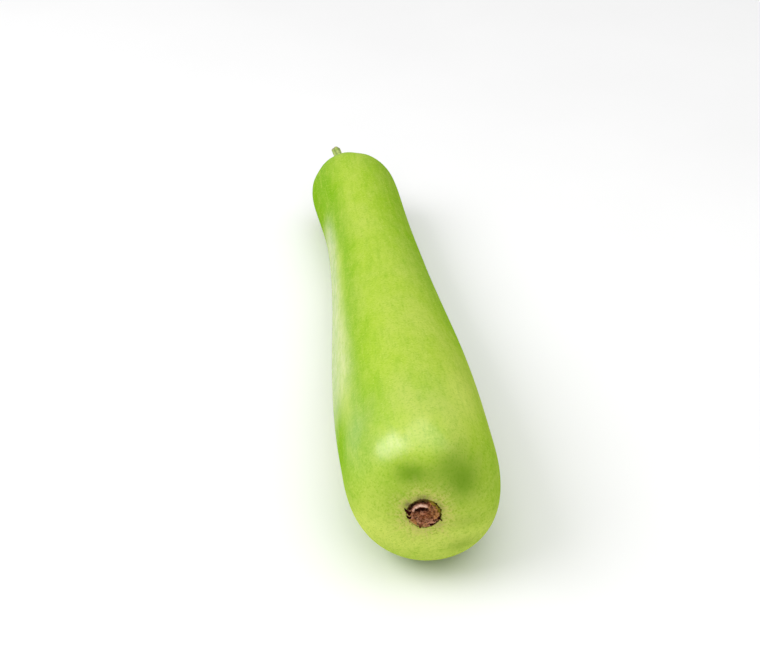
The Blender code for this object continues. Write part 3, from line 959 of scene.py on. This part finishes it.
def stem_section_ring(share, shrink, sunk):
    """Rings square to the path. shrink scales the section, and sunk moves it back along the path."""
    angle = around(STEM_SIDES)[None, :]
    share, shrink, sunk = (np.asarray(value, float)[:, None] for value in (share, shrink, sunk))
    axis = stem_axis(share[:, 0])
    ahead = stem_axis(share[:, 0] + STEM_STEP) - stem_axis(share[:, 0] - STEM_STEP)
    ahead /= np.linalg.norm(ahead, axis=1, keepdims=True)
    side = np.cross(ahead, [0.0, 0.0, 1.0])
    side /= np.linalg.norm(side, axis=1, keepdims=True)
    above = np.cross(side, ahead)
    ridge = stem_ridge(angle, share)
    grooves = STEM_GROOVE_DEPTH * ripple(angle - STEM_TWIST * share, (23, 31, 38, 47), 31)
    knobs = STEM_KNOB_HEIGHT * np.cos(2.0 * angle + 9.0 * share) * np.sin(14.0 * share + 1.0)
    section = 1.0 - STEM_RIDGE_HEIGHT + 2.0 * STEM_RIDGE_HEIGHT * ridge**0.8 + grooves + knobs
    radius = stem_radius(STEM_RUN * share) * section * shrink
    sideways = (radius * np.cos(angle))[..., None] * side[:, None]
    upwards = (radius * np.sin(angle))[..., None] * above[:, None]
    return axis[:, None] + sideways + upwards - sunk[..., None] * ahead[:, None]


def make_stem():
    """The stalk from under the collar to the bevelled edge of its cut."""
    share = np.concatenate([np.linspace(0.0, 1.0 - STEM_END_INSET / STEM_RUN, STEM_ROWS), [1.0, 1.0, 1.0]])
    shrink = np.concatenate([np.ones(STEM_ROWS), [0.975, 0.92, 0.86]])
    sunk = np.concatenate([np.zeros(STEM_ROWS), [0.00055, 0.00040, 0.00042]])
    rings = stem_section_ring(share, shrink, sunk)
    angle = around(STEM_SIDES)[None, :]
    ends = np.maximum(0.85 * hump(share, 0.07), 0.9 * ease(share, 0.93, 1.0))
    wobble = 1.0 + 0.25 * ripple(angle, (3, 7, 12), 37)
    marks = {
        "ridge": with_poles(stem_ridge(angle, share[:, None])),
        "ends": with_poles(np.clip(ends[:, None] * wobble, 0.0, 1.0)),
    }
    return put_bodies("stem_stalk", [sleeve(lay_down(rings))], stem_green, marks)


stem_stalk = make_stem()
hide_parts("stem")
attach(stem_stalk, "root")

# %% [markdown]
# ## The cut face
# Across the cut the stalk shows a dried rim, a ring of woody strands under the ridges, and soft pith that
# has shrunk into a shallow cup. It is its own small disc set into the end of the stalk, because its
# colours follow the rings of the section and not the length of the stem.

# %% Build the cut face
CUT_RIM = (0.300, 0.270, 0.130)
CUT_PITH = (0.560, 0.530, 0.330)
CUT_STRAND = (0.160, 0.120, 0.060)
CUT_ROWS = 40
CUT_STRANDS = 10
CUT_STRAND_HEIGHT = 0.00014
CUT_INSET = 0.00042
CUT_CUP = 0.00055


def cut_finish():
    """Pale pith, a darker rim, and a ring of woody strands."""
    finish, tree, shader = new_finish("stem_cut", roughness=0.80, specular=0.3)
    specked = noise(tree, object_place(tree), 2600.0, detail=4.0, roughness=0.7)
    colour = paint(tree, window(tree, stored(tree, "outward"), 0.55, 0.95), CUT_PITH, CUT_RIM)
    colour = paint_patterns(tree, colour, ((specked, 0.55, 0.35, 0.6, CUT_RIM),))
    colour = paint_marks(tree, colour, (("strand", CUT_STRAND),))
    feed(tree, shader, {"Base Color": colour, "Normal": bump(tree, specked, 0.00015)})
    return finish


def make_cut_face():
    """A dish whose depth grows to the middle, with a low swelling over each strand."""
    outward = np.linspace(0.90, 0.03, CUT_ROWS)
    angle = around(STEM_SIDES)[None, :]
    strand = hump(outward[:, None] - 0.66, 0.09) * smooth_step(0.5 + 0.9 * np.cos(CUT_STRANDS * angle))
    cup = CUT_INSET + CUT_CUP * (1.0 - (outward / 0.9) ** 2)
    front = stem_section_ring(np.ones(CUT_ROWS), outward, cup)
    tip_ahead = stem_axis(1.0 + STEM_STEP) - stem_axis(1.0 - STEM_STEP)
    tip_ahead /= np.linalg.norm(tip_ahead)
    front = front + CUT_STRAND_HEIGHT * strand[..., None] * tip_ahead
    back = stem_section_ring(np.ones(2), [0.03, 0.80], [0.0016, 0.0016])
    blank = np.zeros((2, STEM_SIDES))
    marks = {
        "outward": with_poles(np.concatenate([blank, outward[:, None] + 0.0 * angle])),
        "strand": with_poles(np.concatenate([blank, strand])),
    }
    rings = lay_down(np.concatenate([back, front]))
    return put_bodies("stem_cut_face", [sleeve(rings)], cut_finish(), marks)


stem_cut_face = make_cut_face()
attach(stem_cut_face, "root")

# %% [markdown]
# ## The dried flower
# The flower dried up on the fruit's end and left a corky plug in a pocket of the skin. It has shrunk
# away from the upper side, where a dark gap opens. Below the gap stands a pale corky collar, then a dark
# slit, and then the brown fibrous disc itself. One height formula over the plug gives all of these, so
# the strands and scraps that are added later can lie on it exactly.

# %% The plug's height
CRUMB_WAVES = 24
DISC_RADIUS = 0.0078
# Middle, half width and fall of the side that each part of the plug keeps to, in degrees.
GAP_SIDE = (118, 60, 24)
ARCH_SIDE = (110, 80, 28)
OCHRE_SIDE = (14, 58, 24)
RIND_SIDE = (-142, 62, 26)
RIM_SIDE = (30, 46, 16)
DRAWN_IN_SIDE = (22, 48, 22)
ARCH_CENTRE = (-0.0011, 0.0006)
ARCH_RADII = (0.0039, 0.0038)
SLIT_UP = 0.0016
SLIT_BOW = 90.0
DISC_SINK = 0.0005
RIM_CURL = 0.0007
RIM_GROOVE = 0.0004
ARCH_HEIGHT = 0.0007
SLIT_DEPTH = 0.0021
FLANK_HEIGHT = 0.0002
GAP_DEPTH = 0.0024
CRACK_DEPTH = 0.0005
FURROW_HEIGHT = 0.00016
CRUMB_HEIGHT = 0.00015


def crumbs(across, up, longest, shortest, seed):
    """Uneven lumps between about -1 and 1: cosines of many random directions and wave lengths."""
    draw = np.random.default_rng(seed)
    toward, phase = draw.uniform(0.0, 2.0 * math.pi, (2, CRUMB_WAVES))
    turns = 2.0 * math.pi / draw.uniform(shortest, longest, CRUMB_WAVES)
    course = across[..., None] * np.cos(toward) + up[..., None] * np.sin(toward)
    return np.cos(turns * course + phase).sum(axis=-1) / math.sqrt(CRUMB_WAVES)


def plug_marks(across, up):
    """How far a point of the plug belongs to the gap, the pale arch, the slit, the ochre flank, the dark
    cracks, the tan rind and the olive rim."""
    radius, angle = np.hypot(across, up), np.arctan2(up, across)
    wander = crumbs(across, up, 0.0060, 0.0012, 41)
    beside, above = across - ARCH_CENTRE[0], up - ARCH_CENTRE[1]
    share = np.hypot(beside / ARCH_RADII[0], above / ARCH_RADII[1]) + 0.030 * wander
    arch = near_side(np.arctan2(above, beside), *ARCH_SIDE) * hump(share - 1.0, 0.18)
    gap = near_side(angle, *GAP_SIDE) * ease(share, 1.20, 1.34) * ease(radius, 0.0044, 0.0052)
    slit = hump(up - SLIT_UP + SLIT_BOW * (across + 0.0003) ** 2 + 0.00020 * wander, 0.00105)
    slit = slit * ease(across, -0.0049, -0.0037) * ease(across, 0.0027, 0.0017)
    flank = near_side(angle, *OCHRE_SIDE) * ease(radius + 0.0004 * wander, 0.0030, 0.0045)
    cracks = ease(crumbs(across, up, 0.0034, 0.0016, 83), 0.45, 1.0) * (1.0 - arch)
    cracks = cracks * ease(radius, DISC_RADIUS, DISC_RADIUS - 0.0010)
    rind = near_side(angle, *RIND_SIDE) * ease(radius + 0.0005 * wander, 0.0065, 0.0073)
    olive = near_side(angle, *RIM_SIDE) * ease(radius + 0.0004 * wander, 0.0061, 0.0068)
    return gap, arch, slit, flank, cracks, rind, olive


def plug_out(across, up):
    """How far the plug stands out of the face: a low middle inside a curled rim, plus the arch, less the
    slit, and falling away into the gap. Radial furrows and crumbs roughen it."""
    radius, angle = np.hypot(across, up), np.arctan2(up, across)
    gap, arch, slit, flank, cracks = plug_marks(across, up)[:5]
    share = radius / DISC_RADIUS
    out = RIM_CURL * hump(share - 0.90, 0.16) - RIM_GROOVE * hump(share - 0.66, 0.10) - DISC_SINK
    out = out + ARCH_HEIGHT * arch + FLANK_HEIGHT * flank
    out = out - SLIT_DEPTH * slit - GAP_DEPTH * gap - CRACK_DEPTH * cracks
    furrows = ripple(angle + 60.0 * radius, (11, 17, 26, 41), 43) * ease(share, 0.35, 0.70)
    lumps = crumbs(across, up, 0.0022, 0.0007, 61) + 0.5 * crumbs(across, up, 0.0007, 0.0004, 67)
    return out + FURROW_HEIGHT * furrows + CRUMB_HEIGHT * lumps * (1.0 - 0.5 * gap)

# %% [markdown]
# Dry plant tissue is matt. It is pale where cork was left bare, red-brown where fibres show, ochre on the
# flank that was once a petal's foot, tan and olive on the rim where it still meets living skin, and almost
# black in the slits that light does not reach.

# %% Finish of the dried flower
HUSK_BROWN = (0.370, 0.120, 0.050)
HUSK_DARK = (0.110, 0.018, 0.005)
HUSK_LIGHT = (0.600, 0.290, 0.170)
HUSK_PINK = (0.700, 0.400, 0.290)
HUSK_OCHRE = (0.500, 0.230, 0.060)
CORK_PALE = (0.900, 0.640, 0.520)
CORK_TAN = (0.640, 0.360, 0.240)
RIND_TAN = (0.520, 0.390, 0.110)
RIM_OLIVE = (0.210, 0.165, 0.010)
SLIT_BLACK = (0.024, 0.002, 0.001)


def husk_finish():
    """Brown fibres mixed from fine noise, with the stored marks painted over them."""
    finish, tree, shader = new_finish("dried_flower", roughness=0.90, specular=0.05)
    place = object_place(tree)
    fibres = noise(tree, place, 1000.0, detail=5.0, roughness=0.7)
    blotches = noise(tree, place, 420.0, detail=3.0)
    streaks = noise(tree, object_place(tree, (0.25, 1.0, 1.0)), 2600.0, detail=4.0, roughness=0.7)
    colour = paint(tree, window(tree, blotches, 0.38, 0.62), HUSK_BROWN, HUSK_LIGHT)
    colour = paint_marks(tree, colour, (("ochre", HUSK_OCHRE),))
    layers = ((fibres, 0.50, 0.38, 0.90, HUSK_DARK), (fibres, 0.56, 0.70, 0.75, HUSK_PINK))
    colour = paint_patterns(tree, colour, layers)
    cork = paint(tree, window(tree, streaks, 0.40, 0.62), CORK_TAN, CORK_PALE)
    marks = (("cork", cork), ("rind", RIND_TAN), ("olive", RIM_OLIVE), ("shade", SLIT_BLACK))
    colour = paint_marks(tree, colour, marks)
    feed(tree, shader, {"Base Color": colour, "Normal": bump(tree, fibres, 0.00030)})
    return finish


dried_flower = husk_finish()

# %% Build the plug
PLUG_SIDES = 240
PLUG_ROWS = 96
PLUG_OVERHANG = 0.0003
PLUG_TORN = 0.00022
GAP_DRAWN_IN = 0.0010
FLANK_DRAWN_IN = 0.0004


def husk_marks(shade, ochre, cork=0.0, rind=0.0, olive=0.0):
    """The marks that the dried flower's finish reads, each with a number for every point."""
    none = 0.0 * shade
    return {"shade": shade, "ochre": ochre, "cork": cork + none, "rind": rind + none, "olive": olive + none}


def make_plug():
    """The plug's front from its middle to its torn edge, then down the side to its flat back."""
    angle = around(PLUG_SIDES)[None, :]
    at_gap, at_flank = near_side(angle, *GAP_SIDE), near_side(angle, *DRAWN_IN_SIDE)
    edge = DISC_RADIUS + PLUG_OVERHANG - np.maximum(GAP_DRAWN_IN * at_gap, FLANK_DRAWN_IN * at_flank)
    edge = edge + PLUG_TORN * ripple(angle, (4, 7, 12, 19, 33), 47)
    radius = np.linspace(0.01, 1.0, PLUG_ROWS)[:, None] * edge
    across, up = radius * np.cos(angle), radius * np.sin(angle)
    out = plug_out(across, up)
    floor = -POCKET_DEPTH + GAP
    side_radius = np.array([[0.99], [0.97], [0.95], [0.5]]) * radius[-1]
    side_out = floor + np.array([[0.6], [0.2], [0.0], [0.0]]) * (out[-1] - floor)
    front = on_face(across, up, out)
    side = on_face(side_radius * np.cos(angle), side_radius * np.sin(angle), side_out)
    gap, arch, slit, flank, cracks, rind, olive = plug_marks(across, up)
    # The shade mark is painted shade: black in the slit, in the gap, in the cracks and round the plug's outer
    # edge, and dark down its hidden side.
    outer = ease(radius / edge, 0.90, 0.98) * (0.15 + 0.35 * ripple(angle, (5, 9, 14, 22), 71)) * (1.0 - rind)
    shade = smooth_step(slit * 1.5) + gap + 0.75 * cracks + np.clip(outer, 0.0, 1.0) * (1.0 - olive)
    front_marks = husk_marks(
        shade=np.clip(0.95 * shade, 0.0, 0.97),
        ochre=0.85 * flank * (1.0 - gap),
        cork=0.95 * smooth_step(arch * 1.25) * (1.0 - gap),
        rind=0.90 * rind,
        olive=0.92 * olive,
    )
    side_marks = husk_marks(shade=np.full_like(side_out, 0.8), ochre=0.0 * side_out)
    marks = {label: np.concatenate([front_marks[label], side_marks[label]]) for label in front_marks}
    marks = {label: with_poles(values) for label, values in marks.items()}
    rings = lay_down(np.concatenate([front, side]))
    return put_bodies("flower_plug", [sleeve(rings)], dried_flower, marks)


flower_plug = make_plug()
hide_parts("blossom_scar")
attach(flower_plug, "root")

# %% [markdown]
# ## Torn scraps round the rim
# Where petals and sepals were, only curled points are left. Each scrap is a thin flat sleeve: its section
# is a flattened ring that narrows to a point as it runs outward and curls over the skin.

# %% Build the scraps
SCRAP_ROWS = 14
SCRAP_SIDES = 18
SCRAP_THICKNESS = 0.00013
# Direction and sweep in degrees, start, length and half width in metres, shares of dark, ochre and cork.
SCRAPS = (
    (181, -20, 0.0064, 0.0035, 0.0010, 1.0, 0.0, 0.0),
    (160, -6, 0.0066, 0.0016, 0.0008, 1.0, 0.0, 0.0),
    (204, -15, 0.0068, 0.0017, 0.0008, 1.0, 0.0, 0.0),
    (213, 8, 0.0060, 0.0010, 0.0013, 0.0, 0.8, 0.0),
    (236, -8, 0.0062, 0.0011, 0.0012, 0.1, 0.8, 0.0),
    (255, 3, 0.0062, 0.0027, 0.0010, 0.6, 0.3, 0.0),
    (272, 10, 0.0060, 0.0017, 0.0014, 0.1, 0.7, 0.1),
    # The next two scraps are dark strips that paint the shadow gap under the torn edge on the lower right.
    (293, 42, 0.0072, 0.0007, 0.0005, 1.0, 0.0, 0.0),
    (316, 38, 0.0062, 0.0012, 0.0005, 0.8, 0.3, 0.0),
    (344, -10, 0.0070, 0.0028, 0.0006, 1.0, 0.0, 0.0),
    (357, 10, 0.0056, 0.0016, 0.0014, 0.1, 0.9, 0.1),
    (18, 8, 0.0054, 0.0015, 0.0014, 0.2, 0.9, 0.0),
    (44, -8, 0.0054, 0.0014, 0.0014, 0.3, 0.8, 0.1),
)


def make_scrap(toward, sweep, start, length, half_width):
    """One scrap runs outward from start while it turns through sweep. Its width wavers, and shrinks with
    what is left of its length raised to 0.6. Its sides curl up."""
    along = np.linspace(0.0, 1.0, SCRAP_ROWS)[:, None]
    turn = around(SCRAP_SIDES)[None, :]
    wavering = 1.0 + 0.22 * np.cos(11.0 * along + 2.0 * turn + toward)
    width = half_width * (1.0 - 0.97 * along) ** 0.6 * wavering
    angle = math.radians(toward) + math.radians(sweep) * along
    heading = angle + np.arctan2(math.radians(sweep) * (start + length * along), length)
    aside = width * np.cos(turn)
    radius = start + length * along
    across = radius * np.cos(angle) - aside * np.sin(heading)
    up = radius * np.sin(angle) + aside * np.cos(heading)
    bed = np.maximum(plug_out(across, up), -0.0004 + 0.0005 * ease(radius, 0.0066, 0.0082))
    curled = 0.30 * np.cos(turn) ** 2 * width
    thick = SCRAP_THICKNESS * (1.2 - 0.7 * along) * np.sin(turn)
    return sleeve(lay_down(on_face(across, up, bed + 0.00010 * np.sin(3.0 * along) + curled + thick)))


def make_scraps():
    """All scraps in one mesh, each with its own share of dark, of ochre and of bare cork."""
    bodies = [make_scrap(*scrap[:5]) for scrap in SCRAPS]
    points = [len(body[0]) for body in bodies]
    shade, ochre, cork = (np.repeat([scrap[k] for scrap in SCRAPS], points) for k in (5, 6, 7))
    return put_bodies("flower_scraps", bodies, dried_flower, husk_marks(shade, ochre, cork))


flower_scraps = make_scraps()
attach(flower_scraps, "root")

# %% [markdown]
# ## Fibres on the disc
# Fine strands lie over the disc from its middle outwards, as in any dried stalk that was torn off. They
# are thin tapered tubes that follow the plug's own height, so none of them floats.

# %% Build the fibres
FIBRE_COUNT = 90
FIBRE_ROWS = 12
FIBRE_SIDES = 5
FIBRE_RADIUS = 0.00009
FIBRE_TOWARD = (math.radians(-185), math.radians(55))
FIBRE_START = (0.0004, 0.0040)
FIBRE_END = (0.0048, 0.0072)
FIBRE_CURL = (-0.5, 0.5)
FIBRE_LIFT = (0.0, 0.00035)
FIBRE_CLEAR = 0.00004


def make_fibres():
    """Seeded strands: each starts near the middle, runs outward with a slight curl and rides on the plug."""
    draw = np.random.default_rng(53)
    bodies, shade, ochre = [], [], []
    along = np.linspace(0.0, 1.0, FIBRE_ROWS)[:, None]
    turn = around(FIBRE_SIDES)[None, :]
    for _ in range(FIBRE_COUNT):
        toward = draw.uniform(*FIBRE_TOWARD)
        start, end = draw.uniform(*FIBRE_START), draw.uniform(*FIBRE_END)
        curl, lift, thick = draw.uniform(*FIBRE_CURL), draw.uniform(*FIBRE_LIFT), draw.uniform(0.6, 1.3)
        angle = toward + curl * (along - 0.5) + 0.05 * np.sin(9.0 * along + toward)
        radius = start + (end - start) * along
        tube = FIBRE_RADIUS * thick * np.sqrt(np.sin(math.pi * (0.04 + 0.92 * along)))
        across = radius * np.cos(angle) - tube * np.cos(turn) * np.sin(angle)
        up = radius * np.sin(angle) + tube * np.cos(turn) * np.cos(angle)
        bed = plug_out(radius * np.cos(angle), radius * np.sin(angle))
        out = bed + tube * np.sin(turn) + FIBRE_CLEAR + lift * np.sin(math.pi * along)
        body = sleeve(lay_down(on_face(across, up, out)))
        bodies.append(body)
        shade.append(np.full(len(body[0]), draw.uniform(0.0, 0.5)))
        ochre.append(np.full(len(body[0]), draw.uniform(0.0, 0.8)))
    marks = husk_marks(np.concatenate(shade), np.concatenate(ochre))
    return put_bodies("flower_fibres", bodies, dried_flower, marks)


flower_fibres = make_fibres()
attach(flower_fibres, "root")

# %% [markdown]
# ## Floor and light
# The gourd lies on a plain white floor. A large soft light hangs overhead and gives most of the light. A
# longer, lower one stands to the left: the polished shoulder mirrors it, which makes the highlight above
# the flower. A weak fill near the camera keeps the blossom end from going dark, and the white floor throws
# light back up at the belly, as it does in a studio.

# %% Floor
FLOOR_SIZE = 8.0
FLOOR_WHITE = (0.93, 0.93, 0.93)
FLOOR_PAPER = (0.90, 0.90, 0.90)


def make_floor():
    """A level sheet just under the fruit, with the faint cloudiness of matt paper."""
    finish, tree, shader = new_finish("floor_paper", roughness=0.9, specular=0.1)
    clouds = noise(tree, object_place(tree), 3.0, detail=3.0)
    colour = paint(tree, window(tree, clouds, 0.3, 0.7), FLOOR_WHITE, FLOOR_PAPER)
    feed(tree, shader, {"Base Color": colour})
    half = FLOOR_SIZE / 2.0
    mesh = bpy.data.meshes.new("floor")
    corners = [(-half, -half, -1e-4), (half, -half, -1e-4), (half, half, -1e-4), (-half, half, -1e-4)]
    mesh.from_pydata(corners, [], [(0, 1, 2, 3)])
    mesh.materials.append(finish)
    made = bpy.data.objects.new("floor", mesh)
    bpy.context.scene.collection.objects.link(made)
    return made


make_floor()

# %% Lights
LIT_POINT = Vector((0.0, -0.05, 0.04))
LIGHTS = (
    ("overhead_light", (0.20, -0.25, 2.20), (2.8, 2.8), 29.4),
    ("left_light", (-1.19, -0.24, 1.24), (1.5, 0.9), 14.6),
    ("front_fill", (0.00, -1.20, 0.95), (1.4, 0.6), 2.6),
)
WORLD_COLOUR = (1.0, 1.0, 1.0)
WORLD_STRENGTH = 0.42


def make_light(name, place, size, watts):
    """A white rectangular area light that faces the fruit and can't be seen itself."""
    data = bpy.data.lights.new(name, "AREA")
    data.shape = "RECTANGLE"
    data.size, data.size_y = size
    data.energy = watts
    made = bpy.data.objects.new(name, data)
    made.location = place
    made.rotation_euler = (LIT_POINT - made.location).to_track_quat("-Z", "Y").to_euler()
    made.visible_camera = False
    bpy.context.scene.collection.objects.link(made)
    return made


for light in LIGHTS:
    make_light(*light)
world = bpy.data.worlds.new("studio")
world.use_nodes = True
world.node_tree.nodes["Background"].inputs["Color"].default_value = (*WORLD_COLOUR, 1.0)
world.node_tree.nodes["Background"].inputs["Strength"].default_value = WORLD_STRENGTH
bpy.context.scene.world = world
bpy.context.scene.view_settings.view_transform = "Standard"
